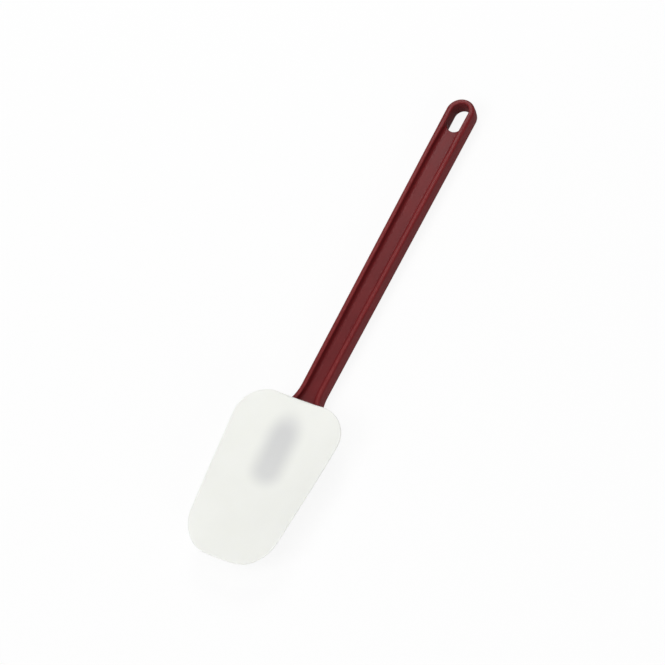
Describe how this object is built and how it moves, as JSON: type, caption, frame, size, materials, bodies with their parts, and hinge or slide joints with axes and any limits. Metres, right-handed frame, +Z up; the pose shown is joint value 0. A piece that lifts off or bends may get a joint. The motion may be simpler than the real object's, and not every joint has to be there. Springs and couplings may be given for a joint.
{
  "type": "spoon spatula",
  "caption": "Spoon spatula: long I-section handle with a hang slot, and a shallow silicone spoon head with thin edges, pushed onto the handle's tang, for scooping and scraping.",
  "frame": {"origin": "middle of the spatula's outline, on the plane it lies on", "axes": "+X across the spatula, +Y along the handle towards the hang end, +Z up out of the bowl"},
  "size_m": [0.0722, 0.343, 0.0189],
  "materials": {
    "nylon": "moulded, satin, dark red",
    "silicone": "moulded, matte, white, slightly translucent"
  },
  "bodies": {
    "handle": {"handle": "nylon"},
    "head": {"spoon_head": "silicone"}
  },
  "joints": [
    {"name": "head_pull_off", "type": "slide", "parent": "handle", "child": "head", "axis": [0, -1, 0], "range_m": [0, 0.07]}
  ]
}
